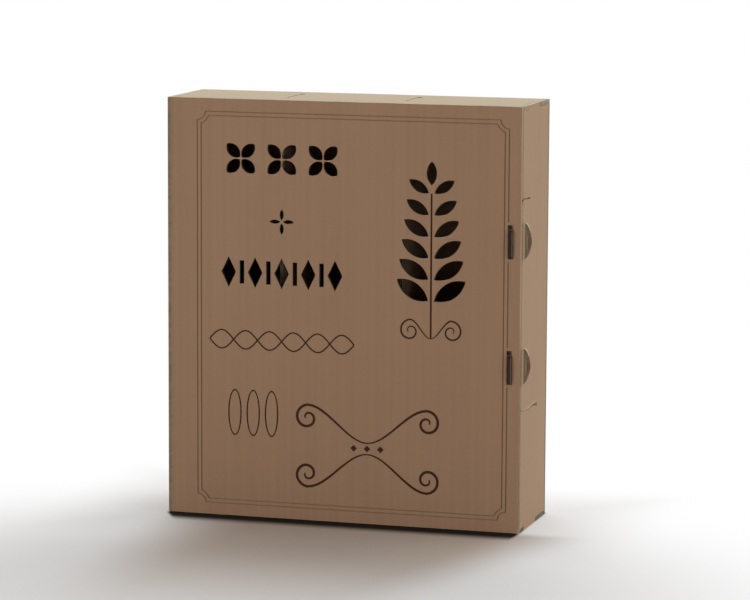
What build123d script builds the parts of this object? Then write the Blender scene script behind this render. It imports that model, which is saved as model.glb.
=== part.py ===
from build123d import *
import math
import os

os.makedirs("parts", exist_ok=True)

# A shipping box of corrugated board for three bottles, closed and standing on its narrow end.
# One folded sheet makes the back, the four walls and the lid, which is the front panel. The
# lid hangs on the fold down the left front edge. Two loose boards divide the inside.
# X runs left to right, Y front to back, Z up. The origin is at the middle of the underside.

# Outer size of the closed box, and its board
box_width = 295.8
box_depth = 90.6
box_height = 340.0
board = 3.3
board_gap = 0.3
fold_radius = 2.4
overrun = 1.0

# Right wall: an outer layer, and a lining turned in round its front edge
lining_space = 3.9
tongue_height = 23.0
tongue_out = 2.6
tongue_chamfer = 1.6
lock_middle = 183.4
lock_spacing = 100.0

# Half-moon finger flaps in the outer layer of the right wall, beside the tongues
flap_front = 11.5
flap_depth = 24.0
flap_height = 28.8
flap_nose_drop = 3.5
flap_nose_radius = 5.0
flap_kerf = 0.5
flap_press = 3.0
flap_waist_share = 0.60
flap_upper_waist_share = 0.56
flap_lower_waist_share = 0.78

# Cuts that run back from the front edge of the right wall
cut_top = 267.0
cut_bottom = 98.2
cut_depth = 57.0
cut_width = 0.5
cut_corner_radius = 3.2
hook_width = 1.0
hook_depth = 27.0
hook_drop = 0.9
open_slit_height = 3.3
open_slit_tip = 0.9
open_slit_front = 18.0

# Tabs of the side walls in the top and bottom walls
wall_tab_front = 17.4
wall_tab_length = 38.0

# Lid
lid_side_gap = 0.6
lid_lift = 1.0
hinge_inset = 2.4
lid_corner_radius = 1.0
slot_width = 4.4
slot_height = 27.2
slot_play_below = 0.4

# Loose dividers, and their tabs through the top and bottom walls
side_bay = 89.6
divider_tab_length = 38.0
divider_tab_front = 29.0
divider_back_gap = 0.3
divider_front_gap = 8.0

# Engraved lines on the lid
line_width = 1.2
line_depth = 0.5
fine_width = 0.95

# Frame of two lines with hollowed corners
frame_side = 10.0
frame_hinge_side = 26.1
frame_scallop = 7.0
frame_pitch = 3.3
frame_break = 2.2

# Cut-out rosettes, lozenges and bars in the left column
column_share = 0.331
rosette_share = 0.860
rosette_reach = 16.4
petal_length = 15.2
petal_width = 9.6
rosette_pitch = 34.6
fleuron_share = 0.713
fleuron_petal_length = 9.0
fleuron_petal_width = 3.4
lozenge_share = 0.590
lozenge_width = 12.4
lozenge_height = 25.0
lozenge_pitch = 22.4
bar_width = 3.8
bar_height = 19.0

# Engraved plait and ovals below them
plait_share = 0.428
plait_length = 122.0
plait_swing = 7.6
plait_waves = 3
oval_share = 0.253
oval_column_share = 0.250
oval_width = 11.6
oval_height = 38.0
oval_pitch = 15.6

# Engraved flourish of horned strokes that end in curls
flourish_column_share = 0.575
flourish_share = 0.182
flourish_reach = 50.0
flourish_rise = 29.0
flourish_gap = 9.0
flourish_width = 2.3
flourish_stone = 5.6
curl_radius = 10.5
curl_turns = 1.3
horn_taper_share = 0.5

# Cut-out sprig of leaves on the right, with a pair of engraved curls at its foot
sprig_column_share = 0.752
sprig_share = 0.540
sprig_pitch = 17.2
sprig_pairs = 6
leaf_length = 31.0
leaf_width = 13.0
leaf_shrink = 2.3
leaf_start = 2.3
leaf_tilt = 33.0
top_leaf_length = 19.0
top_leaf_width = 8.6
stem_width = 1.5
root_drop = 30.0
root_reach = 17.0
root_radius = 9.0
root_turns = 1.35

# Places worked out from the sizes
left = -box_width / 2
right = box_width / 2
front = -(box_depth - tongue_out) / 2
back = front + box_depth
tray_front = front + board + board_gap
inner_back = back - board
ceiling = box_height - board
lining_out = right - board - lining_space
lining_in = lining_out - board
hinge_x = left + hinge_inset
hinge_y = front + board / 2
lock_levels = [lock_middle - lock_spacing / 2, lock_middle + lock_spacing / 2]
slot_middle = (lining_in + lining_out) / 2
column_x = left + box_width * column_share
sprig_x = left + box_width * sprig_column_share
sprig_foot = box_height * sprig_share
sprig_top = sprig_foot + (sprig_pairs - 1) * sprig_pitch
divider_middles = [
    left + board + side_bay + board / 2,
    lining_in - side_bay - board / 2,
]
face_plane = Plane(origin=(0, front, 0), x_dir=(1, 0, 0), z_dir=(0, -1, 0))
side_plane = Plane(origin=(right, front, 0), x_dir=(0, 1, 0), z_dir=(1, 0, 0))


def block(x0, x1, y0, y1, z0, z1):
    """A plain box between two corners."""
    middle = ((x0 + x1) / 2, (y0 + y1) / 2, (z0 + z1) / 2)
    return Pos(*middle) * Box(x1 - x0, y1 - y0, z1 - z0)


def patch(x0, x1, z0, z1):
    """A flat rectangle between two corners."""
    return Pos((x0 + x1) / 2, (z0 + z1) / 2) * Rectangle(x1 - x0, z1 - z0)


def lens(x, z, length, width, angle):
    """An almond between two equal arcs, starting at a point and running along an angle."""
    upper = ThreePointArc((0, 0), (length / 2, width / 2), (length, 0))
    lower = ThreePointArc((length, 0), (length / 2, -width / 2), (0, 0))
    return Pos(x, z) * Rot(0, 0, angle) * make_face(upper + lower)


def ribbon(points, width, taper=0.0):
    """A stroke of even width along points, drawn finer towards its ends by a taper."""
    count = len(points)
    one_side, other_side = [], []
    for i, (x, z) in enumerate(points):
        x0, z0 = points[max(i - 1, 0)]
        x1, z1 = points[min(i + 1, count - 1)]
        run = math.hypot(x1 - x0, z1 - z0)
        bulge = math.sin(math.pi * i / (count - 1))
        half = width / 2 * (1 - taper + taper * bulge)
        dx, dz = -(z1 - z0) / run * half, (x1 - x0) / run * half
        one_side.append((x + dx, z + dz))
        other_side.append((x - dx, z - dz))
    return make_face(Polyline(*one_side, *reversed(other_side), close=True))


def spiral(x, z, radius, turns, start, hand, steps=26):
    """Points of a curl that winds inwards from a radius at a start angle."""
    points = []
    for i in range(steps + 1):
        part = i / steps
        angle = math.radians(start) + hand * 2 * math.pi * turns * part
        reach = radius * (1 - 0.84 * part)
        points.append((x + reach * math.cos(angle), z + reach * math.sin(angle)))
    return points


def tray_shell():
    """Back, top, bottom and side walls as one block, hollowed."""
    shell = block(left, right, tray_front, back, 0, box_height)
    rear = shell.faces().sort_by(Axis.Y)[-1]
    shell = fillet(rear.edges(), fold_radius)
    front_upright = shell.edges().filter_by(Axis.Z).group_by(Axis.Y)[0]
    shell = fillet(front_upright, fold_radius)
    shell -= block(left + board, lining_in, tray_front - overrun, inner_back, board, ceiling)
    shell -= block(lining_out, right - board, tray_front + board, inner_back, board, ceiling)
    return shell


def wall_seams(edge_x, face_x):
    """Hairlines that part a side wall from the top and bottom walls, round its tabs."""
    tab0 = front + wall_tab_front
    tab1 = tab0 + wall_tab_length
    outside = edge_x + math.copysign(overrun, edge_x)
    x0, x1 = min(outside, face_x), max(outside, face_x)
    inner = face_x - math.copysign(board_gap, edge_x)
    n0, n1 = min(inner, face_x), max(inner, face_x)
    seams = []
    for level, end in ((board, -overrun), (ceiling - board_gap, box_height + overrun)):
        seams.append(block(x0, x1, tray_front - overrun, tab0, level, level + board_gap))
        seams.append(block(x0, x1, tab1, inner_back, level, level + board_gap))
        low, high = min(level, end), max(level + board_gap, end)
        seams.append(block(x0, x1, tab0 - board_gap, tab0, low, high))
        seams.append(block(x0, x1, tab1, tab1 + board_gap, low, high))
        seams.append(block(n0, n1, tab0 - board_gap, tab1 + board_gap, low, high))
    return seams


def lining_seams():
    """Hairlines that part the lining and its turned edge from the walls round it."""
    seams = [block(lining_in, lining_out, inner_back - board_gap, inner_back, board, ceiling)]
    for level in (board, ceiling - board_gap):
        seams.append(
            block(lining_in, lining_out, tray_front - overrun, inner_back, level, level + board_gap)
        )
        seams.append(
            block(lining_out, right - board, tray_front - overrun, tray_front + board,
                  level, level + board_gap)
        )
    return seams


def half_moon(level):
    """The outline of a finger flap: straight at the front, round at the back."""
    half = flap_height / 2
    foot = flap_front
    nose = (flap_front + flap_depth, -flap_nose_drop)
    waist = foot + flap_waist_share * flap_depth
    outline = (
        Line((foot, -half), (foot, half))
        + ThreePointArc((foot, half), (waist, flap_upper_waist_share * half), nose)
        + ThreePointArc(nose, (waist, -flap_lower_waist_share * half), (foot, -half))
    )
    shape = make_face(outline)
    point = shape.vertices().sort_by(Axis.X)[-1]
    return Pos(0, level) * fillet(point, flap_nose_radius)


def flap_hole(level):
    """The hole that a finger flap leaves in the outer layer of the right wall."""
    return extrude(side_plane * half_moon(level), amount=-(board + overrun / 2))


def finger_flap(level):
    """A flap that still hangs on its straight side and is pressed in at its round side."""
    moon = half_moon(level)
    shape = moon & (Pos(-flap_kerf, 0) * moon)
    crease = Axis((right, front + flap_front, 0), (0, 0, 1))
    turn = math.degrees(math.asin(flap_press / flap_depth))
    return extrude(side_plane * shape, amount=-board).rotate(crease, turn)


def cut_arc(level, turn):
    """The small arc in which a cut leaves the front edge of the right wall."""
    start = tray_front - front
    radius = cut_corner_radius
    return [
        (start + radius - radius * math.cos(math.pi / 2 * i / 5),
         level - turn * radius * (1 - math.sin(math.pi / 2 * i / 5)))
        for i in range(6)
    ]


def hook_cut():
    """The short open cut near the top, a hook from the front edge."""
    arc = cut_arc(cut_top, 1)
    edge = (tray_front - front - overrun / 2, arc[0][1])
    shape = ribbon([edge] + arc + [(hook_depth, cut_top - hook_drop)], hook_width)
    return extrude(side_plane * shape, amount=-(board + overrun / 2))


def slit_cut():
    """The long cut near the bottom, a hairline that widens to a wedge at its back end."""
    arc = cut_arc(cut_bottom, -1)
    edge = (tray_front - front - overrun / 2, arc[0][1])
    low, high = cut_bottom - open_slit_height, cut_bottom
    middle = (low + high) / 2
    shape = ribbon([edge] + arc + [(open_slit_front, middle), (cut_depth - overrun, middle)],
                   cut_width)
    shape += make_face(Polyline(
        (open_slit_front, middle - open_slit_tip / 2), (cut_depth, low),
        (cut_depth, high), (open_slit_front, middle + open_slit_tip / 2), close=True))
    return extrude(side_plane * shape, amount=-(board + overrun / 2))


def tongue(level):
    """A tongue on the front edge of the lining that stands out through a slot of the lid."""
    low = level - slot_height / 2 + slot_play_below
    high = low + tongue_height
    tip = front - tongue_out
    root = tray_front + board / 2
    outline = Polyline(
        (root, low), (tip + tongue_chamfer, low), (tip, low + tongue_chamfer * 2),
        (tip, high - tongue_chamfer), (tip + tongue_chamfer, high), (root, high), close=True,
    )
    plane = Plane(origin=(lining_in, 0, 0), x_dir=(0, 1, 0), z_dir=(1, 0, 0))
    return extrude(plane * make_face(outline), amount=board)


def make_tray():
    tray = tray_shell()
    tray += [tongue(level) for level in lock_levels]
    tray -= wall_seams(right, right - board)
    tray -= wall_seams(left, left + board)
    tray -= lining_seams()
    tray -= [flap_hole(level) for level in lock_levels]
    tray += [finger_flap(level) for level in lock_levels]
    tray -= [hook_cut(), slit_cut()]
    slits = []
    for middle in divider_middles:
        reach = board / 2 + board_gap
        tab0 = front + divider_tab_front
        tab1 = tab0 + divider_tab_length
        for low, high in ((-overrun, board + overrun), (ceiling - overrun, box_height + overrun)):
            slits.append(
                block(middle - reach, middle + reach, tab0 - board_gap, tab1 + board_gap, low, high)
            )
    tray -= slits
    return tray


def make_divider(middle):
    """A loose board between two bays, with a tab at each end."""
    x0, x1 = middle - board / 2, middle + board / 2
    panel = block(x0, x1, tray_front + divider_front_gap, inner_back - divider_back_gap,
                  board + board_gap, ceiling - board_gap)
    tab0 = front + divider_tab_front
    tab = block(x0, x1, tab0, tab0 + divider_tab_length, board_gap, box_height - board_gap)
    return panel + tab


def frame_outline(inset):
    """The lid's frame shape: a rectangle with hollowed corners."""
    x0, x1 = left + frame_hinge_side, right - frame_side
    z0, z1 = frame_side, box_height - frame_side
    shape = patch(x0 + inset, x1 - inset, z0 + inset, z1 - inset)
    for x in (x0, x1):
        for z in (z0, z1):
            shape -= Pos(x, z) * Circle(frame_scallop + inset)
    return shape


def frame_lines():
    lines = frame_outline(0) - frame_outline(fine_width)
    lines += frame_outline(frame_pitch) - frame_outline(frame_pitch + fine_width)
    reach = slot_height / 2 + frame_break
    for level in lock_levels:
        x0 = slot_middle - slot_width / 2 - frame_break
        lines -= patch(x0, right, level - reach, level + reach)
    return lines


def rosettes():
    shapes = []
    level = box_height * rosette_share
    gap = rosette_reach - petal_length
    for i in range(3):
        x = column_x + (i - 1) * rosette_pitch
        for turn in range(4):
            angle = 45 + 90 * turn
            way = math.radians(angle)
            shapes.append(lens(x + gap * math.cos(way), level + gap * math.sin(way),
                               petal_length, petal_width, angle))
    return shapes


def fleuron():
    shapes = []
    level = box_height * fleuron_share
    for angle in (0, 90, 180, 270):
        way = math.radians(angle)
        shapes.append(lens(column_x + line_width * math.cos(way),
                           level + line_width * math.sin(way),
                           fleuron_petal_length, fleuron_petal_width, angle))
    return shapes


def lozenge(x, z, width, height):
    points = [(x - width / 2, z), (x, z + height / 2), (x + width / 2, z), (x, z - height / 2)]
    return make_face(Polyline(*points, close=True))


def lozenges_and_bars():
    shapes = []
    level = box_height * lozenge_share
    for i in range(5):
        x = column_x + (i - 2) * lozenge_pitch
        shapes.append(lozenge(x, level, lozenge_width, lozenge_height))
        if i:
            x -= lozenge_pitch / 2
            shapes.append(patch(x - bar_width / 2, x + bar_width / 2,
                                level - bar_height / 2, level + bar_height / 2))
    return shapes


def sprig():
    """Pairs of almond leaves that shrink towards a single leaf at the top."""
    shapes = []
    for i in range(sprig_pairs):
        z = sprig_foot + i * sprig_pitch
        length = leaf_length - i * leaf_shrink
        width = leaf_width * length / leaf_length
        shapes.append(lens(sprig_x + leaf_start, z, length, width, leaf_tilt))
        shapes.append(lens(sprig_x - leaf_start, z, length, width, 180 - leaf_tilt))
    shapes.append(lens(sprig_x, sprig_top + leaf_width / 2, top_leaf_length, top_leaf_width, 90))
    return shapes


def plait():
    """Two waves that cross."""
    shapes = []
    steps = 16 * plait_waves
    for hand in (1, -1):
        points = []
        for i in range(steps + 1):
            part = i / steps
            swing = plait_swing * math.sin(2 * math.pi * plait_waves * part)
            points.append((column_x + plait_length * (part - 0.5),
                           box_height * plait_share + hand * swing))
        shapes.append(ribbon(points, line_width))
    return shapes


def ovals():
    shapes = []
    middle = left + box_width * oval_column_share
    for i in range(3):
        place = Pos(middle + (i - 1) * oval_pitch, box_height * oval_share)
        outer = Ellipse(oval_width / 2, oval_height / 2)
        inner = Ellipse(oval_width / 2 - line_width, oval_height / 2 - line_width)
        shapes.append(place * (outer - inner))
    return shapes


def horn(x, z, reach, rise, radius, turns, width, hand):
    """A stroke that leaves a point level, sweeps out and up or down, and ends in a curl."""
    up = math.copysign(1, rise)
    points = []
    for i in range(12):
        part = i / 12
        ease = part * part * (3 - 2 * part)
        points.append((x + hand * reach * part, z + rise * ease))
    curl = spiral(0, -up * radius, radius, turns, up * 90, -up)
    points += [(x + hand * (reach + dx), z + rise + dz) for dx, dz in curl]
    return ribbon(points, width, horn_taper_share)


def flourish():
    """Four horned strokes, mirrored both ways, with a row of small lozenges between them."""
    x = left + box_width * flourish_column_share
    z = box_height * flourish_share
    strokes = [
        horn(x, z + up * flourish_gap / 2, flourish_reach, up * flourish_rise,
             curl_radius, curl_turns, flourish_width, hand)
        for up in (1, -1) for hand in (1, -1)
    ]
    side = flourish_stone * 2
    stones = [lozenge(x + place * side, z, flourish_stone, flourish_stone) for place in (-1, 0, 1)]
    return strokes + stones


def sprig_root():
    """The stem of the sprig, and a pair of curls below it."""
    foot = sprig_foot - root_drop
    stem = patch(sprig_x - stem_width / 2, sprig_x + stem_width / 2, foot, sprig_top)
    curls = [
        horn(sprig_x, foot, root_reach, root_drop / 2, root_radius, root_turns, stem_width, hand)
        for hand in (1, -1)
    ]
    return [stem] + curls


def make_lid():
    """The front panel, from the rounded edge in the fold to its cut edge on the right."""
    lid = block(hinge_x, right - lid_side_gap, front, front + board, lid_lift, box_height)
    corners = lid.edges().filter_by(Axis.Y).group_by(Axis.X)[-1]
    lid = fillet(corners, lid_corner_radius)
    knuckle = Pos(hinge_x, hinge_y, (lid_lift + box_height) / 2) * Cylinder(
        board / 2, box_height - lid_lift)
    lid += knuckle
    openings = rosettes() + lozenges_and_bars() + fleuron() + sprig()
    for level in lock_levels:
        openings.append(patch(slot_middle - slot_width / 2, slot_middle + slot_width / 2,
                              level - slot_height / 2, level + slot_height / 2))
    openings = Sketch() + openings
    lid -= extrude(face_plane * openings, amount=-(board + overrun))
    lines = frame_lines()
    lines += plait() + ovals() + flourish() + sprig_root()
    lid -= extrude(face_plane * lines, amount=-line_depth)
    return lid


tray = make_tray()
lid = make_lid()
divider_left, divider_right = [make_divider(middle) for middle in divider_middles]

for name, shape in (
    ("tray", tray), ("lid", lid),
    ("divider_left", divider_left), ("divider_right", divider_right),
):
    export_step(shape, f"parts/{name}.step")
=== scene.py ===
import math

import bpy
from bpy.props import FloatProperty, FloatVectorProperty, PointerProperty
from mathutils import Matrix, Vector


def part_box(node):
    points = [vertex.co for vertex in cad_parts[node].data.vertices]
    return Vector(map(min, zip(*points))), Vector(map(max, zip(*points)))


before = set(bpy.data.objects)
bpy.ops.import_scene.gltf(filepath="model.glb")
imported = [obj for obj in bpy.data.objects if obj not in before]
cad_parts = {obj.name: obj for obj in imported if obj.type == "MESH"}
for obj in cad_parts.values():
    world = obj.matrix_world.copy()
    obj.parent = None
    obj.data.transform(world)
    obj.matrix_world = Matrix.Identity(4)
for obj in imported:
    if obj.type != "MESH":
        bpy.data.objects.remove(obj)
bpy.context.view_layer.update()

bl_info = {
    "name": "Bottle shipping box",
    "version": (1, 0, 0),
    "blender": (4, 5, 0),
    "location": "View3D > Sidebar > Bottle Box",
    "description": ("Finishes a folded corrugated box for three bottles "
                    "and sets it on a studio floor"),
    "category": "Object",
}

# Places on the box, in metres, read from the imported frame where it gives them
_, TRAY_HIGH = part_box("tray")
LID_LOW, LID_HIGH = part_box("lid")
BOARD = LID_HIGH.y - LID_LOW.y
LID_FRONT = LID_LOW.y
LID_GAP = 0.0003
LINING_GAP = 0.0039
BOX_RIGHT = TRAY_HIGH.x
BOX_BACK = TRAY_HIGH.y
BOX_TOP = TRAY_HIGH.z
BOX_MIDDLE = BOX_TOP / 2
TRAY_FRONT = LID_HIGH.y + LID_GAP
LINING_MIDDLE = BOX_RIGHT - BOARD - LINING_GAP - BOARD / 2
WALL_TAB = (LID_FRONT + 0.0174, LID_FRONT + 0.0554)
LOCK_LEVELS = (0.1334, 0.2334)

# A point this near to a face counts as lying on it, a hair's breadth, and some room to spare
SKIN = 0.00012
HAIR = 0.0001
SLACK = 0.001

# Strips along a side of the box: how far short of it they start, and where they are full
BACK_FOLD = (0.0022, 0.0004)
SIDE_FOLD = (0.0020, 0.0006)
CORNER_FOLD = (0.0030, 0.0012)
RIGHT_FACE = (0.0016, 0.0008)
REAR_STRIP = (0.0085, 0.0030)
REAR_DEEP_STRIP = (0.0056, 0.0036)
RIM_STRIP = (0.0022, 0.0008)
# The painted highlight on the right front fold, and the painted shade on the lid's fold and beside
# it, from clear to full
CORNER_DEPTHS = (LID_FRONT + 0.0066, LID_FRONT + 0.0046)
LID_FOLD_STRIP = (LID_LOW.x + 0.0042, LID_LOW.x + 0.0022)
LID_BESIDE_FOLD_STRIP = (LID_LOW.x + 0.0085, LID_LOW.x + 0.0030)
# The depths between which the right wall's cuts lie, clear of its rounded folds
CUT_DEPTHS = (TRAY_FRONT + 0.0011, BOX_BACK - 0.006)
# How much of a divider's tab is painted pale as light, down from the top of the box
TAB_LIGHT_DEPTH = 0.0012

# The half-moon finger flaps in the right wall. The waist is a place along the depth, then the
# share of the height that is left there above and below. The tilt is how far they are pressed in.
FLAP_FRONT = LID_FRONT + 0.0115
FLAP_DEPTH = 0.0240
FLAP_HEIGHT = 0.0288
FLAP_NOSE_DROP = 0.0035
FLAP_WAIST = (0.60, 0.56, 0.78)
FLAP_TILT = 0.126
FLAP_SKIN = 0.0004
FLAP_BUMP = 0.40
FLAP_SHADING = (0.0008, 0.0022)
# Round a flap: painted shade below and above its level and ahead of it, and painted highlights on
# the rims
FLAP_SHADE_BELOW = (0.0175, 0.0125)
FLAP_SHADE_ABOVE = (0.0170, 0.0120)
FLAP_SHADE_AHEAD = (0.0030, 0.0004)
FLAP_SHADE_SUNK = (0.0012, 0.0004)
HIGHLIGHT_WIDTH = 0.0010
HIGHLIGHT_DEPTHS = (FLAP_FRONT + 0.001, FLAP_FRONT + 0.0175)
HIGHLIGHT_OVER = 0.003

# The wedge-shaped slit low in the right wall, and the short hook-shaped cut high in it
SLIT_FRONT = LID_FRONT + 0.0180
SLIT_BACK = LID_FRONT + 0.0570
SLIT_TOP = (0.0970, 0.0982)
SLIT_LEVELS = (0.0944, 0.0984)
SLIT_HIGHLIGHT = (SLIT_FRONT + 0.004, SLIT_BACK - 0.001)
HOOK_LEVELS = (0.2628, 0.2684)

# On the lid: how near to a side a raw edge lies, the bounds of the artwork inside its frame
# lines, the depths between which an engraved line turns to a cut-out, the tongues' slots, and
# the levels between which the right edge's hollows fill in going up, and its painted shade further
# down
SIDE_ZONE = 0.0026
ART_ACROSS = (-0.114, 0.129)
ART_LEVELS = (0.022, 0.318)
CUT_THROUGH = (0.00055, 0.0009)
SLOT_ACROSS = (0.1360, 0.1425)
SLOT_HALF = 0.0142
HOLLOW_FILL_LEVELS = (0.10, 0.19)
LID_END_SHADE_LEVELS = (0.185, 0.120)

# Paper that is flecked or pressed, and colours painted on as highlights and shade on folds, ends,
# cuts, flaps, rims and edges
STRAW_FLECK = (0.46, 0.32, 0.21)
BARK_FLECK = (0.12, 0.068, 0.038)
CORNER_HIGHLIGHT = (0.460, 0.330, 0.220)
REAR_SHADE = (0.232, 0.158, 0.094)
REAR_DEEP_SHADE = (0.070, 0.060, 0.044)
LOW_END_SHADE = (0.030, 0.024, 0.015)
PRESSED_END = (0.245, 0.190, 0.135)
TOP_EDGE_HIGHLIGHT = (0.56, 0.43, 0.30)
HOOK_SHADE = (0.070, 0.048, 0.030)
SLIT_LIGHT = (0.58, 0.45, 0.30)
FLAP_SHADE_BY_SIDE = (0.115, 0.074, 0.034)
FLAP_SHADE_BEHIND = (0.210, 0.146, 0.084)
BESIDE_FLAP_SHADE = (0.215, 0.140, 0.080)
RIM_HIGHLIGHT = (0.60, 0.48, 0.36)
TONGUE_SHADE = (0.135, 0.092, 0.064)
LID_FOLD_SHADE = (0.155, 0.120, 0.082)
LID_END_SHADE = (0.125, 0.082, 0.046)
DIVIDER_TAB_LIGHT = (0.70, 0.56, 0.41)

# Raw edges whose paper and painted hollow shade differ from the board's own
WALL_END = ((0.235, 0.225, 0.160), (0.095, 0.092, 0.060))
CUT_FACE_LIGHT = ((0.330, 0.230, 0.140), (0.230, 0.160, 0.095))
TONGUE_TIP = ((0.034, 0.017, 0.011), (0.017, 0.007, 0.003))
SLOT_SHADE = ((0.026, 0.011, 0.004), (0.010, 0.003, 0.001))
LID_END = ((0.300, 0.205, 0.130), (0.180, 0.130, 0.078))

# The floor and the shade on it. The contact shade starts a little inside the sides, is drawn in
# on the left, and fades faster beside and behind the box than ahead of it. The thrown shade's
# bounds run from clear to full.
FLOOR_SIZE = 24.0
FLOOR_CLOUD = (0.76, 0.76, 0.76)
WHITE = (1.0, 1.0, 1.0)
CONTACT_SHADE = (0.02, 0.015, 0.01)
CONTACT_INSET = 0.004
CONTACT_DRAWN_IN = 0.5
CONTACT_HASTE = 5.0
THROWN_SHADE = (0.33, 0.19, 0.08)
THROWN_AHEAD = (0.42, 0.02)
THROWN_START = (-0.01, 0.01)
THROWN_LEFT = (-0.165, -0.065)
THROWN_RIGHT = (0.215, 0.130)
THROWN_LEAN = 0.25

# Where the lamps shine, and the way that counts as behind the box for the surround
LAMP_AIM = (0.0, 0.0, 0.14)
REARWARD = (0.35, 0.94, 0.0)


def put(tree, kind, inputs=None, **settings):
    """Adds a node, sets its own settings, and gives each named input a value or a link."""
    node = tree.nodes.new(kind)
    for name, value in settings.items():
        setattr(node, name, value)
    for name, value in (inputs or {}).items():
        if isinstance(value, bpy.types.NodeSocket):
            tree.links.new(value, node.inputs[name])
        else:
            node.inputs[name].default_value = value
    return node


def maths(tree, operation, *values):
    return put(tree, "ShaderNodeMath", dict(enumerate(values)), operation=operation).outputs[0]


def arc_centre(first, second, third):
    """Centre and radius of the circle through three points."""
    (ax, ay), (bx, by), (cx, cy) = first, second, third
    turn = 2 * (ax * (by - cy) + bx * (cy - ay) + cx * (ay - by))
    a, b, c = ax * ax + ay * ay, bx * bx + by * by, cx * cx + cy * cy
    x = (a * (by - cy) + b * (cy - ay) + c * (ay - by)) / turn
    y = (a * (cx - bx) + b * (ax - cx) + c * (bx - ax)) / turn
    return (x, y), math.hypot(ax - x, ay - y)


def above(tree, value, bound):
    return maths(tree, "GREATER_THAN", value, bound)


def below(tree, value, bound):
    return maths(tree, "LESS_THAN", value, bound)


def within(tree, value, low, high):
    """1 where a value lies between two bounds, and 0 elsewhere."""
    return maths(tree, "COMPARE", value, (low + high) / 2, (high - low) / 2)


def either(tree, *masks):
    """The greatest of several masks."""
    mask = masks[0]
    for other in masks[1:]:
        mask = maths(tree, "MAXIMUM", mask, other)
    return mask


def both(tree, *masks):
    """The product of several masks or strengths."""
    mask = masks[0]
    for other in masks[1:]:
        mask = maths(tree, "MULTIPLY", mask, other)
    return mask


def outside(tree, mask):
    return maths(tree, "SUBTRACT", 1.0, mask)


def rise(tree, value, low, high, to_low=0.0, to_high=1.0):
    """Goes smoothly from one value to another between two bounds."""
    node = put(tree, "ShaderNodeMapRange", {"Value": value, "From Min": low, "From Max": high,
                                            "To Min": to_low, "To Max": to_high},
               interpolation_type="SMOOTHSTEP")
    return node.outputs[0]


def near(tree, value, side, strip):
    """Rises to 1 as a value comes up to a side, between two distances short of it."""
    start, full = strip
    return rise(tree, value, side - start, side - full)


def distance(tree, value, centre):
    """How far a value lies from a centre, to either side of it."""
    return maths(tree, "ABSOLUTE", maths(tree, "SUBTRACT", value, centre))


def straight(tree, first, second):
    """Length of the straight line that runs so far one way and so far across it."""
    return maths(tree, "SQRT", maths(tree, "ADD", maths(tree, "MULTIPLY", first, first),
                                     maths(tree, "MULTIPLY", second, second)))


def through_board(tree, value, face):
    """How far through the board a place lies, from 0 at one face to 1 at the other."""
    return maths(tree, "DIVIDE", maths(tree, "SUBTRACT", value, face), BOARD)


def mix(tree, share, first, second):
    return put(tree, "ShaderNodeMix", {0: share, 2: first, 3: second}).outputs[0]


def blend(tree, share, first, second, way="MIX"):
    """Blends two colours, each of them a socket or three numbers."""
    first, second = (value if isinstance(value, bpy.types.NodeSocket) else (*value, 1.0)
                     for value in (first, second))
    node = put(tree, "ShaderNodeMix", {0: share, 6: first, 7: second}, data_type="RGBA",
               blend_type=way)
    return node.outputs[2]


def tint(tree, colour, mask, over, strength=None):
    """Lays a colour over another where a mask is 1, fully or in part."""
    return blend(tree, mask if strength is None else both(tree, mask, strength), colour, over)


def noise(tree, vector, scale, detail=2.0, rough=0.5):
    node = put(tree, "ShaderNodeTexNoise", {"Vector": vector, "Scale": scale, "Detail": detail,
                                            "Roughness": rough})
    return node.outputs["Fac"]


def split(tree, vector):
    return put(tree, "ShaderNodeSeparateXYZ", {"Vector": vector}).outputs


def join(tree, x, y, z):
    return put(tree, "ShaderNodeCombineXYZ", {"X": x, "Y": y, "Z": z}).outputs[0]


def new_group(name, inputs, outputs):
    """A shader group with named sockets. Returns its tree, input sockets and output node."""
    tree = bpy.data.node_groups.new(name, "ShaderNodeTree")
    for label, kind, value in inputs:
        socket = tree.interface.new_socket(label, in_out="INPUT", socket_type=kind)
        if value is not None:
            socket.default_value = value
    for label, kind in outputs:
        tree.interface.new_socket(label, in_out="OUTPUT", socket_type=kind)
    start = tree.nodes.new("NodeGroupInput")
    return tree, start.outputs, tree.nodes.new("NodeGroupOutput")


def give(tree, end, **results):
    """Links what a group works out to the sockets of its output node."""
    for label, result in results.items():
        tree.links.new(result, end.inputs[label])


def use_group(tree, name, inputs):
    return put(tree, "ShaderNodeGroup", inputs, node_tree=bpy.data.node_groups[name]).outputs


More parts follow.
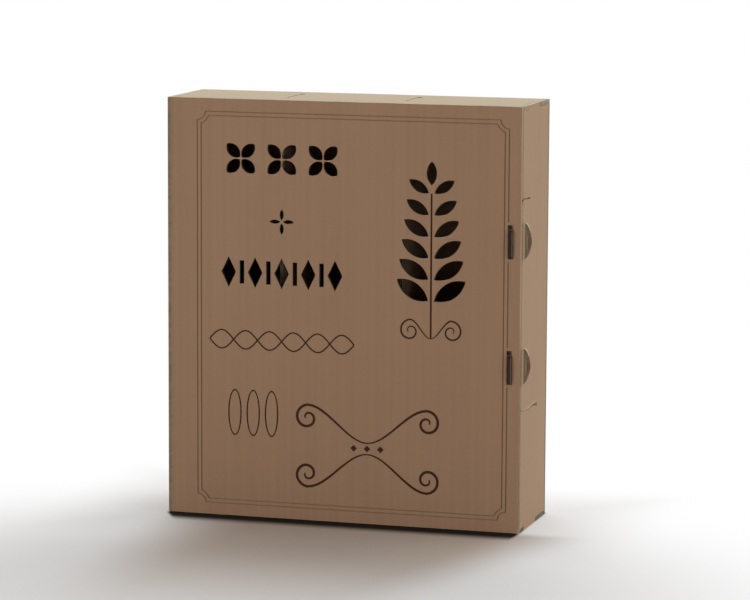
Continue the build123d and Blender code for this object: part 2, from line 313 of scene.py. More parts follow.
def make_liner_group():
    """The outer paper of the board.

    It has clouds of pulp, fibres laid across the flutes, flecks, soft streaks along the flutes,
    and the flutes themselves, which show through.
    """
    tree, given, end = new_group(
        "kraft_liner",
        [("Vector", "NodeSocketVector", None), ("Facing", "NodeSocketVector", None),
         ("Paper", "NodeSocketColor", None), ("Flute Pitch", "NodeSocketFloat", 0.0064),
         ("Flute Shade", "NodeSocketFloat", 0.02), ("Fleck", "NodeSocketFloat", 0.1),
         ("Streak", "NodeSocketFloat", 0.1), ("Cloud", "NodeSocketFloat", 0.06)],
        [("Colour", "NodeSocketColor"), ("Height", "NodeSocketFloat"),
         ("Roughness", "NodeSocketFloat")])
    vector, fleck = given["Vector"], given["Fleck"]
    x, y, z = split(tree, vector)
    facing = split(tree, put(tree, "ShaderNodeVectorMath", {0: given["Facing"]},
                             operation="ABSOLUTE").outputs[0])
    sideways, level = above(tree, facing[0], 0.5), above(tree, facing[2], 0.5)
    across, depth = mix(tree, sideways, x, y), mix(tree, sideways, y, x)
    along = mix(tree, level, z, y)

    # fibres lie across the flutes, in the way that the paper ran through the mill
    lay = join(tree, maths(tree, "MULTIPLY", across, 0.22), along, depth)
    fibre = noise(tree, lay, scale=1500.0, detail=4.0, rough=0.6)
    hair = noise(tree, lay, scale=520.0)
    drawn = join(tree, across, maths(tree, "MULTIPLY", along, 0.03), depth)
    streak = noise(tree, drawn, scale=125.0, detail=1.0)
    pulp = noise(tree, vector, scale=95.0, detail=4.0, rough=0.6)
    cloud = noise(tree, vector, scale=14.0)
    grain = noise(tree, vector, scale=2600.0, rough=0.7)

    # flutes seen through the paper, wavering a little from one to the next
    waver = maths(tree, "MULTIPLY", noise(tree, vector, scale=22.0, detail=1.0), 0.9)
    turns = maths(tree, "MULTIPLY_ADD", maths(tree, "DIVIDE", across, given["Flute Pitch"]),
                  2 * math.pi, waver)
    flute = maths(tree, "SINE", turns)
    broad = maths(tree, "SINE", maths(tree, "MULTIPLY", turns, 0.53))
    shade = maths(tree, "MULTIPLY_ADD", broad, 0.8, flute)

    tone = maths(tree, "MULTIPLY_ADD", shade, given["Flute Shade"], 1.0)
    for pattern, strength in ((cloud, given["Cloud"]), (pulp, fleck), (fibre, fleck),
                              (streak, given["Streak"])):
        swing = maths(tree, "SUBTRACT", pattern, 0.5)
        tone = maths(tree, "MULTIPLY_ADD", swing, strength, tone)
    colour = put(tree, "ShaderNodeVectorMath", {0: given["Paper"], "Scale": tone},
                 operation="SCALE").outputs[0]

    # light straw and dark bark flecks
    straw = both(tree, rise(tree, hair, 0.66, 0.74), fleck)
    bark = both(tree, rise(tree, hair, 0.30, 0.22), fleck)
    colour = tint(tree, colour, straw, STRAW_FLECK, strength=1.1)
    colour = tint(tree, colour, bark, BARK_FLECK, strength=2.2)

    # how high each pattern stands, in metres
    height = 0.0
    for pattern, relief in ((flute, 12.0e-6), (fibre, 3.0e-6), (grain, 1.5e-6), (pulp, 25.0e-6)):
        height = maths(tree, "MULTIPLY_ADD", pattern, relief, height)
    give(tree, end, Colour=colour, Height=height,
         Roughness=rise(tree, fibre, 0.3, 0.7, 0.93, 0.80))


def make_edge_group():
    """A raw edge: two liners with the wavy medium between them, partly crushed by the knife."""
    tree, given, end = new_group(
        "fluted_edge",
        [("Vector", "NodeSocketVector", None), ("Along", "NodeSocketFloat", 0.0),
         ("Across", "NodeSocketFloat", 0.5), ("Flute Pitch", "NodeSocketFloat", 0.0064),
         ("Waves", "NodeSocketFloat", 1.0), ("Crush", "NodeSocketFloat", 0.3),
         ("Paper", "NodeSocketColor", None), ("Hollow", "NodeSocketColor", None)],
        [("Colour", "NodeSocketColor"), ("Height", "NodeSocketFloat")])
    vector, waves = given["Vector"], given["Waves"]
    ragged = noise(tree, vector, scale=900.0, detail=3.0, rough=0.6)
    frayed = maths(tree, "SUBTRACT", ragged, 0.5)
    wander = noise(tree, vector, scale=60.0)
    turns = maths(tree, "MULTIPLY", maths(tree, "DIVIDE", given["Along"], given["Flute Pitch"]),
                  2 * math.pi)

    # the medium swings from liner to liner, and strays where the cut runs along a flute
    swing = both(tree, maths(tree, "SINE", turns), waves)
    stray = both(tree, maths(tree, "SUBTRACT", wander, 0.5), outside(tree, waves))
    middle = maths(tree, "MULTIPLY_ADD", swing, 0.36, maths(tree, "MULTIPLY_ADD", stray, 1.4, 0.5))
    gap = distance(tree, given["Across"], middle)
    steep = both(tree, maths(tree, "ABSOLUTE", maths(tree, "COSINE", turns)), waves)
    reach = maths(tree, "MULTIPLY_ADD", steep, 0.05, 0.085)
    reach = maths(tree, "MULTIPLY_ADD", frayed, 0.10, reach)
    medium = rise(tree, maths(tree, "SUBTRACT", gap, reach), 0.03, -0.03)

    side = maths(tree, "MULTIPLY_ADD", frayed, 0.05, distance(tree, given["Across"], 0.5))
    liners = rise(tree, side, 0.37, 0.41)
    crushed = rise(tree, maths(tree, "ADD", wander, given["Crush"]), 0.62, 0.95)
    paper = either(tree, liners, medium, crushed)
    # the hollows between the liners and the medium are painted dark, a painted shade in the open
    # flutes
    colour = blend(tree, paper, given["Hollow"], given["Paper"])
    colour = tint(tree, colour, ragged, given["Hollow"], strength=0.35)
    height = maths(tree, "MULTIPLY_ADD", ragged, 0.00008, maths(tree, "MULTIPLY", paper, 0.0004))
    give(tree, end, Colour=colour, Height=height)


def make_wear_and_shade_group():
    """A rubbed line along a fold: wear on the tray's back folds, painted shade on the lid's fold.
    """
    tree, given, end = new_group(
        "fold_wear_and_shade",
        [("Vector", "NodeSocketVector", None), ("Colour", "NodeSocketColor", None),
         ("Fold", "NodeSocketFloat", 0.0), ("Bare", "NodeSocketColor", None),
         ("Amount", "NodeSocketFloat", 0.35)],
        [("Colour", "NodeSocketColor")])
    rubbed = noise(tree, given["Vector"], scale=240.0, detail=4.0, rough=0.65)
    worn = both(tree, given["Fold"], rise(tree, rubbed, 0.30, 0.70, 0.35, 1.0), given["Amount"])
    give(tree, end, Colour=blend(tree, worn, given["Colour"], given["Bare"]))


def new_material(name, specular):
    """A Principled material. Returns it, its tree and its shader."""
    material = bpy.data.materials.new(name)
    material.use_nodes = True
    shader = material.node_tree.nodes["Principled BSDF"]
    shader.inputs["Specular IOR Level"].default_value = specular
    return material, material.node_tree, shader


def board_material(node):
    """Gives a CAD node a board material, matt with a weak warm sheen. Returns tree and shader."""
    material, tree, shader = new_material("kraft_board_" + node, specular=0.2)
    shader.inputs["Sheen Weight"].default_value = 0.6
    shader.inputs["Sheen Roughness"].default_value = 0.26
    shader.inputs["Sheen Tint"].default_value = (1.0, 0.93, 0.69, 1.0)
    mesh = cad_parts[node].data
    mesh.materials.clear()
    mesh.materials.append(material)
    return tree, shader


def coordinates(tree):
    """Object coordinates, their three parts, and the way that the surface faces."""
    given = put(tree, "ShaderNodeTexCoord").outputs
    return given["Object"], split(tree, given["Object"]), given["Normal"]


def liner(tree, board, vector, facing):
    return use_group(tree, "kraft_liner", {
        "Vector": vector, "Facing": facing, "Paper": (*board.paper, 1.0),
        "Flute Pitch": board.flute_pitch, "Flute Shade": board.flute_shade,
        "Fleck": board.fleck, "Streak": board.streak, "Cloud": board.cloud})


def raw_edge(tree, board, vector, along, across, waves, crush, colours=None):
    """A raw edge, cut across the flutes (waves 1) or along them (waves 0)."""
    paper, hollow = colours or (board.edge_paper, board.edge_hollow_shade)
    return use_group(tree, "fluted_edge", {
        "Vector": vector, "Along": along, "Across": across, "Flute Pitch": board.flute_pitch,
        "Waves": waves, "Crush": crush, "Paper": (*paper, 1.0), "Hollow": (*hollow, 1.0)})


def wear_and_shade(tree, vector, colour, fold, bare, amount):
    return use_group(tree, "fold_wear_and_shade", {
        "Vector": vector, "Colour": colour, "Fold": fold, "Bare": (*bare, 1.0),
        "Amount": amount})["Colour"]


def lay_on(tree, mask, colour, height, edge):
    """Lays an edge's colour and height over the board's, where a mask is 1."""
    return (blend(tree, mask, colour, edge["Colour"]), mix(tree, mask, height, edge["Height"]))


def finish_shader(tree, shader, colour, height, roughness):
    bump = put(tree, "ShaderNodeBump", {"Height": height, "Strength": 1.0, "Distance": 1.0})
    for label, result in (("Base Color", colour), ("Roughness", roughness),
                          ("Normal", bump.outputs["Normal"])):
        tree.links.new(result, shader.inputs[label])


class BOTTLEBOX_PG_board(bpy.types.PropertyGroup):
    """The corrugated board that the box is folded from"""
    paper: FloatVectorProperty(
        name="Paper", description="Colour of the kraft liner", subtype="COLOR", size=3,
        min=0.0, max=1.0, default=(0.300, 0.180, 0.108))
    edge_paper: FloatVectorProperty(
        name="Edge paper", description="Colour of freshly cut paper at a raw edge",
        subtype="COLOR", size=3, min=0.0, max=1.0, default=(0.40, 0.30, 0.19))
    edge_hollow_shade: FloatVectorProperty(
        name="Edge hollow", description="Colour in the hollows between the flutes",
        subtype="COLOR", size=3, min=0.0, max=1.0, default=(0.085, 0.066, 0.040))
    fold_paper: FloatVectorProperty(
        name="Fold paper", description="Colour of paper stretched over a fold",
        subtype="COLOR", size=3, min=0.0, max=1.0, default=(0.24, 0.19, 0.125))
    flute_pitch: FloatProperty(
        name="Flute pitch", description="Distance from one flute to the next",
        subtype="DISTANCE", unit="LENGTH", min=0.002, max=0.02, default=0.0064)
    flute_shade: FloatProperty(
        name="Flute shade", description="How strongly the flutes show through the paper",
        min=0.0, max=0.2, default=0.012)
    fleck: FloatProperty(
        name="Fleck", description="Strength of the fibres and flecks in the paper",
        min=0.0, max=1.0, default=0.05)
    streak: FloatProperty(
        name="Streak", description="Strength of the soft streaks along the flutes",
        min=0.0, max=1.0, default=0.10)
    cloud: FloatProperty(
        name="Cloud", description="Strength of the broad clouds in the paper",
        min=0.0, max=1.0, default=0.07)


class BOTTLEBOX_PG_cut(bpy.types.PropertyGroup):
    """The artwork burnt and cut into the lid"""
    burn: FloatVectorProperty(
        name="Engraved line", description="Colour of the engraved lines", subtype="COLOR",
        size=3, min=0.0, max=1.0, default=(0.048, 0.016, 0.004))
    fine_burn: FloatVectorProperty(
        name="Frame line", description="Colour of the finer lines of the frame",
        subtype="COLOR", size=3, min=0.0, max=1.0, default=(0.245, 0.142, 0.080))
    char: FloatVectorProperty(
        name="Cut wall", description="Colour of the burnt walls of the cut-outs",
        subtype="COLOR", size=3, min=0.0, max=1.0, default=(0.014, 0.009, 0.006))


class BOTTLEBOX_PG_stage(bpy.types.PropertyGroup):
    """The studio floor, the lamps and the camera"""
    floor: FloatVectorProperty(
        name="Floor", description="Colour of the floor", subtype="COLOR", size=3,
        min=0.0, max=1.0, default=(0.83, 0.82, 0.81))
    lamp: FloatProperty(
        name="Front lamp", description="Power of the low soft lamp left of the front",
        subtype="POWER", unit="POWER", min=0.0, default=64.0)
    side: FloatProperty(
        name="Side lamp", description="Power of the low soft lamp on the right",
        subtype="POWER", unit="POWER", min=0.0, default=18.0)
    sky_front: FloatProperty(
        name="Surround in front", description="Strength of the soft light from the front",
        min=0.0, max=5.0, default=0.04)
    sky_back: FloatProperty(
        name="Surround behind", description="Strength of the soft light from behind",
        min=0.0, max=5.0, default=1.56)
    white_round: FloatVectorProperty(
        name="White round", description="Place in the shadow round which the floor fades to white",
        subtype="TRANSLATION", unit="LENGTH", size=2, default=(0.0, -0.36))
    white_from: FloatProperty(
        name="White from", description="Distance at which the floor starts to fade to white",
        subtype="DISTANCE", unit="LENGTH", min=0.0, default=0.17)
    white_at: FloatProperty(
        name="White at", description="Distance beyond which the floor is white",
        subtype="DISTANCE", unit="LENGTH", min=0.0, default=0.52)
    contact: FloatProperty(
        name="Contact shade", description="Reach of the dark shade round the box's foot",
        subtype="DISTANCE", unit="LENGTH", min=0.0, default=0.030)
    thrown: FloatProperty(
        name="Thrown shade", description="Depth of the soft shade on the floor before the box",
        min=0.0, max=1.0, default=0.66)
    lens: FloatProperty(
        name="Lens", description="Focal length of the camera, in millimetres",
        min=10.0, max=500.0, default=163.173)
    camera_place: FloatVectorProperty(
        name="Camera place", description="Where the camera stands", subtype="TRANSLATION",
        unit="LENGTH", size=3, default=(0.7926, -2.6151, 0.5531))
    azimuth: FloatProperty(
        name="Azimuth", description="How far the camera looks round from the lid's face",
        subtype="ANGLE", unit="ROTATION", default=math.radians(16.555))
    elevation: FloatProperty(
        name="Elevation", description="How far the camera looks down", subtype="ANGLE",
        unit="ROTATION", default=math.radians(7.860))
    roll: FloatProperty(
        name="Roll", description="How far the camera leans", subtype="ANGLE",
        unit="ROTATION", default=math.radians(0.289))


class BOTTLEBOX_OT_finish_tray(bpy.types.Operator):
    """Gives the folded tray its kraft board, its raw edges, its worn folds and its painted light
    and shade
    """
    bl_idname = "bottlebox.finish_tray"
    bl_label = "Finish the tray"

    def execute(self, context):
        board = context.scene.bottlebox_board
        tree, shader = board_material("tray")
        vector, place, facing = coordinates(tree)
        paper = liner(tree, board, vector, facing)
        coat = paper["Colour"], paper["Height"]
        for step in (self.finish_folds, self.finish_ends, self.finish_cuts, self.finish_flaps,
                     self.finish_tongues):
            coat = step(tree, board, vector, place, *coat)
        finish_shader(tree, shader, *coat, paper["Roughness"])
        return {"FINISHED"}

    def finish_folds(self, tree, board, vector, place, colour, height):
        """Worn folds round the back, a painted highlight on the right front fold, and painted
        shade down the rear of the right side.
        """
        x, y, z = place
        round_back = both(tree, near(tree, y, BOX_BACK, BACK_FOLD), either(
            tree, near(tree, maths(tree, "ABSOLUTE", x), BOX_RIGHT, SIDE_FOLD),
            near(tree, distance(tree, z, BOX_MIDDLE), BOX_MIDDLE, BACK_FOLD)))
        colour = wear_and_shade(tree, vector, colour, round_back, board.fold_paper, amount=0.55)
        # painted highlight: the rounded right front fold is painted pale against its shade
        corner = both(tree, near(tree, x, BOX_RIGHT, CORNER_FOLD), rise(tree, y, *CORNER_DEPTHS))
        colour = tint(tree, colour, corner, CORNER_HIGHLIGHT, strength=0.6)
        right_wall = near(tree, x, BOX_RIGHT, RIGHT_FACE)
        # painted shade down the rear of the right side, darkest where it rounds the back fold
        rear = both(tree, right_wall, near(tree, y, BOX_BACK, REAR_STRIP))
        colour = tint(tree, colour, rear, REAR_SHADE)
        painted_dark = both(tree, right_wall, near(tree, y, BOX_BACK, REAR_DEEP_STRIP))
        return tint(tree, colour, painted_dark, REAR_DEEP_SHADE, strength=0.85), height

    def finish_ends(self, tree, board, vector, place, colour, height):
        """Raw ends of the top and bottom walls, and of the side walls' tabs."""
        x, y, z = place
        wide = maths(tree, "ABSOLUTE", x)
        high = distance(tree, z, BOX_MIDDLE)
        upper = above(tree, z, BOX_MIDDLE)
        tab = within(tree, y, *WALL_TAB)
        level_wall = within(tree, high, BOX_MIDDLE - BOARD + HAIR, BOX_MIDDLE + SLACK)
        share = through_board(tree, high, BOX_MIDDLE - BOARD)

        # the sides are cut along the flutes, with painted shade in the hollows between the liners
        end_face = both(tree, above(tree, wide, BOX_RIGHT - SKIN), level_wall, outside(tree, tab))
        edge = raw_edge(tree, board, vector, y, share, waves=0.0, crush=0.35, colours=WALL_END)
        colour, height = lay_on(tree, end_face, colour, height, edge)
        # painted shade: the bottom wall's ends, down by the floor, are painted near black
        low_end_shade = both(tree, end_face, outside(tree, upper))
        colour = tint(tree, colour, low_end_shade, LOW_END_SHADE, strength=0.72)
        pressed = both(tree, end_face, below(tree, y, WALL_TAB[0]), upper,
                       rise(tree, share, 0.72, 0.60))
        colour = tint(tree, colour, pressed, PRESSED_END, strength=0.85)

        # the front edges are cut across the flutes
        front_edge = both(tree, within(tree, y, TRAY_FRONT - SKIN, TRAY_FRONT + SKIN), level_wall)
        edge = raw_edge(tree, board, vector, x, share, waves=1.0, crush=0.2)
        colour, height = lay_on(tree, front_edge, colour, height, edge)

        # the tabs end flush with the top and the bottom. A painted highlight runs along their
        # right edge, over their outer liner and on to the front corner.
        flush = above(tree, high, BOX_MIDDLE - SKIN)
        tab_end = both(tree, flush, tab, above(tree, wide, BOX_RIGHT - BOARD - HAIR))
        share = through_board(tree, wide, BOX_RIGHT - BOARD)
        edge = raw_edge(tree, board, vector, y, share, waves=1.0, crush=0.75)
        colour, height = lay_on(tree, tab_end, colour, height, edge)
        edge_highlight = both(tree, flush, below(tree, y, WALL_TAB[1]),
                   near(tree, wide, BOX_RIGHT, RIM_STRIP))
        return tint(tree, colour, edge_highlight, TOP_EDGE_HIGHLIGHT, strength=0.85), height

    def finish_cuts(self, tree, board, vector, place, colour, height):
        """Cut faces in the right wall painted light brown against their shade, the hook's painted
        dark as shade and the wedge's painted pale.
        """
        x, y, z = place
        in_wall = both(tree, within(tree, x, BOX_RIGHT - BOARD + 1.5 * HAIR, BOX_RIGHT - SKIN),
                       below(tree, distance(tree, z, BOX_MIDDLE), BOX_MIDDLE - BOARD - SLACK),
                       within(tree, y, *CUT_DEPTHS))
        # painted light: the cut faces and their hollows are painted light brown against the shade
        # in the cuts
        share = through_board(tree, x, BOX_RIGHT - BOARD)
        edge = raw_edge(tree, board, vector, z, share, waves=0.0, crush=0.6, colours=CUT_FACE_LIGHT)
        colour, height = lay_on(tree, in_wall, colour, height, edge)
        # painted shade: the hook cut's walls are painted dark
        hook = both(tree, in_wall, within(tree, z, *HOOK_LEVELS))
        colour = tint(tree, colour, hook, HOOK_SHADE)
        # painted light: the wedge's walls are painted pale to lift them out of their shade
        wedge = both(tree, in_wall, within(tree, z, *SLIT_LEVELS), above(tree, y, SLIT_FRONT))
        return tint(tree, colour, wedge, SLIT_LIGHT), height

    def finish_flaps(self, tree, board, vector, place, colour, height):
        """Flaps pressed in and painted dark as shade, painted shade round them, and painted
        highlights on their rims.
        """
        x, y, z = place
        behind = maths(tree, "SUBTRACT", y, FLAP_FRONT)
        sunk = maths(tree, "SUBTRACT", BOX_RIGHT, x)
        outline = either(tree, *[self.round_flap(tree, y, z, level) for level in LOCK_LEVELS])
        pressed_in = maths(tree, "MULTIPLY", behind, FLAP_TILT)
        on_flap = both(tree, outline, within(tree, behind, 0.0, FLAP_DEPTH),
                       maths(tree, "COMPARE", sunk, pressed_in, FLAP_SKIN))
        # painted shade: each flap's face is painted dark, darkest beside its straight side
        shaded = blend(tree, rise(tree, sunk, *FLAP_SHADING), FLAP_SHADE_BY_SIDE, FLAP_SHADE_BEHIND)
        colour = tint(tree, colour, on_flap, shaded)
        # a slope in the bump turns the board's sheen away from the camera
        height = maths(tree, "MULTIPLY_ADD", on_flap,
                       maths(tree, "MULTIPLY", behind, FLAP_BUMP), height)

        # painted shade on the wall between the flaps and the corner
        beside = either(tree, *[both(tree, near(tree, z, level, FLAP_SHADE_BELOW),
                                     rise(tree, z, *[level + up for up in FLAP_SHADE_ABOVE]))
                                for level in LOCK_LEVELS])
        shade_by_flap = both(tree, beside, rise(tree, behind, *FLAP_SHADE_AHEAD),
                      rise(tree, sunk, *FLAP_SHADE_SUNK), outside(tree, on_flap))
        colour = tint(tree, colour, shade_by_flap, BESIDE_FLAP_SHADE)

        # painted highlights on the upper rims of the flaps and over the wedge of the long slit
        rims = []
        for level in LOCK_LEVELS:
            away, radius = self.flap_arc(tree, y, z, level, 1, FLAP_WAIST[1])
            rims.append(both(tree, within(tree, away, radius, radius + HIGHLIGHT_WIDTH),
                             within(tree, y, *HIGHLIGHT_DEPTHS),
                             within(tree, z, level + HIGHLIGHT_OVER, level + FLAP_HEIGHT / 2)))
        climb = (SLIT_TOP[1] - SLIT_TOP[0]) / (SLIT_BACK - SLIT_FRONT)
        line = maths(tree, "MULTIPLY_ADD", maths(tree, "SUBTRACT", y, SLIT_FRONT), climb,
                     SLIT_TOP[0])
        rims.append(both(tree, within(tree, maths(tree, "SUBTRACT", z, line), 0.0, HIGHLIGHT_WIDTH),
                         within(tree, y, *SLIT_HIGHLIGHT), 0.35))
        rim_highlight = both(tree, above(tree, x, BOX_RIGHT - SKIN), either(tree, *rims))
        return tint(tree, colour, rim_highlight, RIM_HIGHLIGHT, strength=0.8), height

    def flap_arc(self, tree, y, z, level, way, waist_share):
        """Distance from the centre of a flap's upper (1) or lower (-1) arc, and its radius."""
        half_moon = way * FLAP_HEIGHT / 2
        (cy, cz), radius = arc_centre(
            (FLAP_FRONT, level + half_moon),
            (FLAP_FRONT + FLAP_WAIST[0] * FLAP_DEPTH, level + waist_share * half_moon),
            (FLAP_FRONT + FLAP_DEPTH, level - FLAP_NOSE_DROP))
        away = straight(tree, maths(tree, "SUBTRACT", y, cy), maths(tree, "SUBTRACT", z, cz))
        return away, radius

    def round_flap(self, tree, y, z, level):
        """1 inside a flap's half-moon outline."""
        nose = level - FLAP_NOSE_DROP
        parts = []
        for way, waist_share, low, high in ((1, FLAP_WAIST[1], nose, level + FLAP_HEIGHT / 2),
                                            (-1, FLAP_WAIST[2], level - FLAP_HEIGHT / 2, nose)):
            away, radius = self.flap_arc(tree, y, z, level, way, waist_share)
            parts.append(both(tree, below(tree, away, radius - 2 * HAIR),
                              within(tree, z, low, high)))
        return either(tree, *parts)

    def finish_tongues(self, tree, board, vector, place, colour, height):
        """The two tongues: board painted dark as shade, with the hollow ends of the flutes in
        front.
        """
        x, y, z = place
        from_middle = distance(tree, x, LINING_MIDDLE)
        out = both(tree, below(tree, y, TRAY_FRONT - 2 * HAIR),
                   below(tree, from_middle, BOARD / 2 + 2 * HAIR))
        # painted shade on the tongues where they stand out of the slots
        colour = tint(tree, colour, out, TONGUE_SHADE)
        tip = both(tree, out, below(tree, from_middle, BOARD / 2 - HAIR))
        share = through_board(tree, x, LINING_MIDDLE - BOARD / 2)
        edge = raw_edge(tree, board, vector, z, share, waves=0.0, crush=0.5, colours=TONGUE_TIP)
        return lay_on(tree, tip, colour, height, edge)


class BOTTLEBOX_OT_finish_lid(bpy.types.Operator):
    """Gives the lid its kraft board, its burnt lines, its charred cut-outs and its raw edges"""
    bl_idname = "bottlebox.finish_lid"
    bl_label = "Finish the lid"

    def execute(self, context):
        board, cut = context.scene.bottlebox_board, context.scene.bottlebox_cut
        tree, shader = board_material("lid")
        vector, (x, y, z), facing = coordinates(tree)
        paper = liner(tree, board, vector, facing)
        colour, height = paper["Colour"], paper["Height"]
        # painted shade: the lid's rounded left fold is painted darker, and fainter further in
        fold = either(tree, rise(tree, x, *LID_FOLD_STRIP), rise(tree, x, *LID_BESIDE_FOLD_STRIP, 0.0, 0.35))
        colour = wear_and_shade(tree, vector, colour, fold, LID_FOLD_SHADE, amount=1.0)

        # walls of the cuts and the raw edges lie between the lid's two faces
        depth = maths(tree, "SUBTRACT", y, LID_FRONT)
        inside = within(tree, depth, SKIN, BOARD - 0.8 * HAIR)
        by_fold = below(tree, x, LID_LOW.x + SIDE_ZONE)
        by_right = above(tree, x, LID_HIGH.x - SIDE_ZONE)
        by_level = either(tree, above(tree, z, LID_HIGH.z - SIDE_ZONE),
                          below(tree, z, LID_LOW.z + SIDE_ZONE))

        # burnt lines and the charred walls of the cut-outs
        burnt = both(tree, inside, outside(tree, either(tree, by_right, by_level, by_fold)))
        art = both(tree, within(tree, x, *ART_ACROSS), within(tree, z, *ART_LEVELS))
        smoke = both(tree, noise(tree, vector, scale=420.0, detail=3.0, rough=0.6),
                     maths(tree, "MULTIPLY_ADD", art, 0.35, 0.15))
        line = tint(tree, blend(tree, art, cut.fine_burn, cut.burn), smoke, cut.char)
        line = tint(tree, line, rise(tree, depth, *CUT_THROUGH), cut.char)
        colour = tint(tree, colour, burnt, line)

        # the slots for the tongues are cut with a knife, not burnt, and their walls are painted
        # near black as shade
        share = through_board(tree, y, LID_FRONT)
        slots = either(tree, *[within(tree, z, level - SLOT_HALF, level + SLOT_HALF)
                               for level in LOCK_LEVELS])
        slots = both(tree, inside, slots, within(tree, x, *SLOT_ACROSS))
        edge = raw_edge(tree, board, vector, z, share, waves=0.0, crush=0.2, colours=SLOT_SHADE)
        colour, height = lay_on(tree, slots, colour, height, edge)

        # raw edges: cut across the flutes at the top and the bottom, and along them on the
        # right, where the painted shade of the hollows gives way to paper higher up
        edge = raw_edge(tree, board, vector, x, share, waves=1.0, crush=0.3)
        colour, height = lay_on(tree, both(tree, inside, by_level, outside(tree, by_fold)),
                                colour, height, edge)
        edge = raw_edge(tree, board, vector, z, share, waves=0.0,
                        crush=rise(tree, z, *HOLLOW_FILL_LEVELS, 0.20, 0.90), colours=LID_END)
        right_edge = both(tree, inside, by_right, outside(tree, by_level))
        colour, height = lay_on(tree, right_edge, colour, height, edge)
        # painted shade: the right edge is painted darker lower down
        painted_dark = both(tree, right_edge, rise(tree, z, *LID_END_SHADE_LEVELS))
        colour = tint(tree, colour, painted_dark, LID_END_SHADE, strength=0.75)
        finish_shader(tree, shader, colour, height, paper["Roughness"])
        return {"FINISHED"}


class BOTTLEBOX_OT_finish_dividers(bpy.types.Operator):
    """Gives the two loose dividers their kraft board and raw edges"""
    bl_idname = "bottlebox.finish_dividers"
    bl_label = "Finish the dividers"

    def execute(self, context):
        board = context.scene.bottlebox_board
        for name in ("divider_left", "divider_right"):
            low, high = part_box(name)
            tree, shader = board_material(name)
            vector, (x, y, z), facing = coordinates(tree)
            paper = liner(tree, board, vector, facing)
            colour, height = paper["Colour"], paper["Height"]
            share = through_board(tree, x, low.x)
            cut = within(tree, x, low.x + HAIR, high.x - HAIR)
            ends = above(tree, maths(tree, "ABSOLUTE", split(tree, facing)[2]), 0.5)
            edge = raw_edge(tree, board, vector, y, share, waves=1.0, crush=0.45)
            colour, height = lay_on(tree, both(tree, cut, ends), colour, height, edge)
            # the tabs' ends lie flush with the top and are painted pale, a painted highlight over
            # the shade of the kerf beside them
            flush = above(tree, z, BOX_TOP - TAB_LIGHT_DEPTH)
            colour = tint(tree, colour, flush, DIVIDER_TAB_LIGHT, strength=0.85)
            edge = raw_edge(tree, board, vector, z, share, waves=0.0, crush=0.1)
            colour, height = lay_on(tree, both(tree, cut, outside(tree, ends)),
                                    colour, height, edge)
            finish_shader(tree, shader, colour, height, paper["Roughness"])
        return {"FINISHED"}


def add_lamp(name, place, size, power):
    """A soft lamp that shines on the lower half of the box and isn't seen itself."""
    bpy.ops.object.light_add(type="AREA", location=place)
    lamp = bpy.context.object
    lamp.name = name
    lamp.data.shape = "RECTANGLE"
    lamp.data.size, lamp.data.size_y = size
    lamp.data.energy = power
    lamp.visible_camera = False
    lamp.rotation_euler = (Vector(LAMP_AIM) - Vector(place)).to_track_quat("-Z", "Y").to_euler()


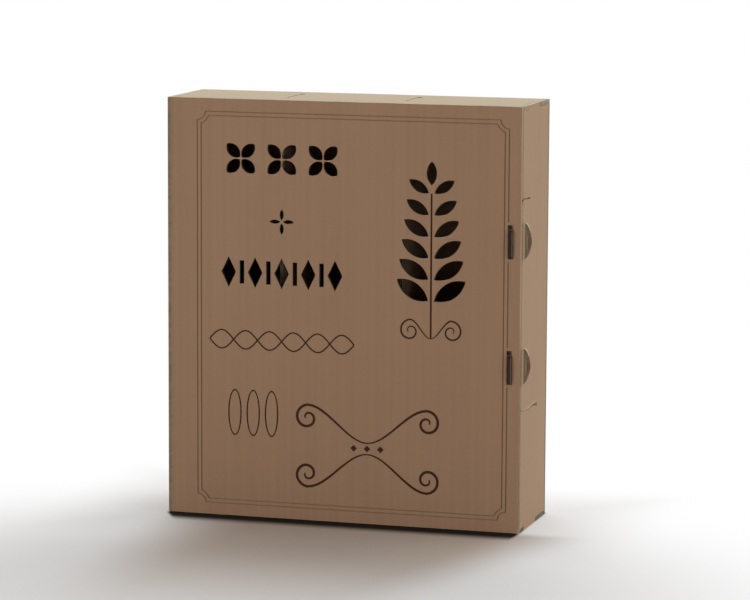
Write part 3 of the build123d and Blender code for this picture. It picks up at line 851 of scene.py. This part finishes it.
class BOTTLEBOX_OT_stage(bpy.types.Operator):
    """Lays the pale floor and sets the soft lamps and the even surround"""
    bl_idname = "bottlebox.stage"
    bl_label = "Set the stage"

    def execute(self, context):
        stage = context.scene.bottlebox_stage
        bpy.ops.mesh.primitive_plane_add(size=FLOOR_SIZE, location=(0.0, 0.0, 0.0))
        floor = context.object
        floor.name = "studio_floor"
        floor.data.materials.append(self.paint_floor(stage))
        add_lamp("front_lamp", place=(-2.30, -3.30, 0.36), size=(1.8, 0.6), power=stage.lamp)
        add_lamp("side_lamp", place=(3.30, -1.60, 0.36), size=(1.4, 0.6), power=stage.side)
        world = context.scene.world or bpy.data.worlds.new("studio_surround")
        context.scene.world = world
        self.light_surround(world, stage)
        context.scene.view_settings.view_transform = "Standard"
        return {"FINISHED"}

    def seen(self, tree):
        """1 where the camera sees a surface, straight or in a reflection."""
        path = put(tree, "ShaderNodeLightPath").outputs
        return either(tree, path["Is Camera Ray"], path["Is Glossy Ray"],
                      path["Is Transmission Ray"])

    def paint_floor(self, stage):
        """Pale paint, with the dark line at the box's foot and the brown shade ahead of it."""
        material, tree, shader = new_material("floor_paint", specular=0.1)
        shader.inputs["Roughness"].default_value = 0.9
        vector = put(tree, "ShaderNodeTexCoord").outputs["Object"]
        x, y, _ = split(tree, vector)
        beside = maths(tree, "SUBTRACT", maths(tree, "ABSOLUTE", x), BOX_RIGHT - CONTACT_INSET)
        behind = maths(tree, "SUBTRACT", y, BOX_BACK)
        before = maths(tree, "SUBTRACT", LID_FRONT, y)
        clear = either(tree, beside, behind, before, 0.0)
        patchy = noise(tree, vector, scale=3.0, detail=3.0)
        paint = tint(tree, stage.floor, patchy, FLOOR_CLOUD, strength=0.03)

        # the contact shade is drawn in on the left, and more so further ahead
        left_front = both(tree, either(tree, before, 0.0), below(tree, x, 0.0))
        beside = maths(tree, "MULTIPLY_ADD", left_front, CONTACT_DRAWN_IN, beside)
        beside, behind = (either(tree, both(tree, way, CONTACT_HASTE), 0.0)
                          for way in (beside, behind))
        foot = straight(tree, beside, either(tree, before, behind, 0.0))
        dark = both(tree, rise(tree, foot, stage.contact, stage.contact * 0.3), self.seen(tree))
        paint = tint(tree, paint, dark, CONTACT_SHADE)

        # the soft brown shade that the box throws ahead of it
        leaning = maths(tree, "MULTIPLY_ADD", before, THROWN_LEAN, x)
        thrown = both(tree, rise(tree, before, *THROWN_AHEAD, 0.0, stage.thrown),
                      rise(tree, x, *THROWN_LEFT), rise(tree, leaning, *THROWN_RIGHT),
                      rise(tree, before, *THROWN_START))
        veil = blend(tree, thrown, WHITE, THROWN_SHADE)
        paint = tint(tree, paint, self.seen(tree), blend(tree, 1.0, paint, veil, "MULTIPLY"))
        tree.links.new(paint, shader.inputs["Base Color"])
        self.fade_to_white(tree, shader, vector, clear, dark, veil, stage)
        return material

    def fade_to_white(self, tree, shader, vector, clear, dark, veil, stage):
        """The floor's far part is seen as plain white, and its shadow stays near the box."""
        away = put(tree, "ShaderNodeVectorMath", {0: vector, 1: (*stage.white_round, 0.0)},
                   operation="DISTANCE").outputs["Value"]
        far = both(tree, rise(tree, away, stage.white_from, stage.white_at),
                   rise(tree, clear, 0.0, 0.12, 0.35, 1.0), outside(tree, dark))
        white = put(tree, "ShaderNodeEmission", {"Color": veil, "Strength": 1.0})
        mixed = put(tree, "ShaderNodeMixShader", {
            0: both(tree, far, self.seen(tree)), 1: shader.outputs[0], 2: white.outputs[0]})
        end = tree.nodes["Material Output"]
        tree.links.new(mixed.outputs[0], end.inputs["Surface"])

    def light_surround(self, world, stage):
        """Soft light, stronger from behind the box, and plain white where it is seen."""
        world.use_nodes = True
        tree = world.node_tree
        tree.nodes.clear()
        way = put(tree, "ShaderNodeTexCoord").outputs["Generated"]
        behind = put(tree, "ShaderNodeVectorMath", {0: way, 1: REARWARD},
                     operation="DOT_PRODUCT").outputs["Value"]
        strength = rise(tree, behind, -0.6, 0.6, stage.sky_front, stage.sky_back)
        light, white = (put(tree, "ShaderNodeBackground", {"Color": (*WHITE, 1.0),
                                                           "Strength": power}).outputs[0]
                        for power in (strength, 1.0))
        mixed = put(tree, "ShaderNodeMixShader", {0: self.seen(tree), 1: light, 2: white})
        put(tree, "ShaderNodeOutputWorld", {"Surface": mixed.outputs[0]})


class BOTTLEBOX_OT_camera(bpy.types.Operator):
    """Stands the camera where the box is seen from the front and a little from the right"""
    bl_idname = "bottlebox.camera"
    bl_label = "Place the camera"

    def execute(self, context):
        stage = context.scene.bottlebox_stage
        turn, drop, lean = stage.azimuth, stage.elevation, stage.roll
        ahead = Vector((-math.sin(turn) * math.cos(drop), math.cos(turn) * math.cos(drop),
                        -math.sin(drop)))
        level = Vector((math.cos(turn), math.sin(turn), 0.0))
        upright = level.cross(ahead)
        right = level * math.cos(lean) + upright * math.sin(lean)
        up = upright * math.cos(lean) - level * math.sin(lean)
        bpy.ops.object.camera_add(location=stage.camera_place)
        camera = context.object
        camera.name = "photo_camera"
        camera.data.lens = stage.lens
        camera.data.sensor_width = 36.0
        camera.data.clip_start, camera.data.clip_end = 0.1, 100.0
        facing = Matrix((right, up, -ahead)).transposed().to_4x4()
        camera.matrix_world = Matrix.Translation(Vector(stage.camera_place)) @ facing
        context.scene.camera = camera
        return {"FINISHED"}


class BOTTLEBOX_PT_panel(bpy.types.Panel):
    """The box's sizes and colours, and the steps that finish it"""
    bl_label = "Bottle Box"
    bl_idname = "BOTTLEBOX_PT_panel"
    bl_space_type = "VIEW_3D"
    bl_region_type = "UI"
    bl_category = "Bottle Box"

    def draw(self, context):
        scene = context.scene
        for settings in (scene.bottlebox_board, scene.bottlebox_cut, scene.bottlebox_stage):
            box = self.layout.box()
            for name in settings.__annotations__:
                box.prop(settings, name)
        for step in STEPS:
            self.layout.operator(step.bl_idname)


STEPS = (BOTTLEBOX_OT_camera, BOTTLEBOX_OT_finish_tray, BOTTLEBOX_OT_finish_lid,
         BOTTLEBOX_OT_finish_dividers, BOTTLEBOX_OT_stage)
GROUPS = (BOTTLEBOX_PG_board, BOTTLEBOX_PG_cut, BOTTLEBOX_PG_stage)


def register():
    for kind in (*GROUPS, *STEPS, BOTTLEBOX_PT_panel):
        bpy.utils.register_class(kind)
    bpy.types.Scene.bottlebox_board = PointerProperty(type=BOTTLEBOX_PG_board)
    bpy.types.Scene.bottlebox_cut = PointerProperty(type=BOTTLEBOX_PG_cut)
    bpy.types.Scene.bottlebox_stage = PointerProperty(type=BOTTLEBOX_PG_stage)


def unregister():
    for name in ("bottlebox_board", "bottlebox_cut", "bottlebox_stage"):
        delattr(bpy.types.Scene, name)
    for kind in reversed((*GROUPS, *STEPS, BOTTLEBOX_PT_panel)):
        bpy.utils.unregister_class(kind)


def main():
    register()
    make_liner_group()
    make_edge_group()
    make_wear_and_shade_group()
    bpy.ops.bottlebox.camera()
    bpy.ops.bottlebox.finish_tray()
    bpy.ops.bottlebox.finish_lid()
    bpy.ops.bottlebox.finish_dividers()
    bpy.ops.bottlebox.stage()


if __name__ == "__main__":
    main()
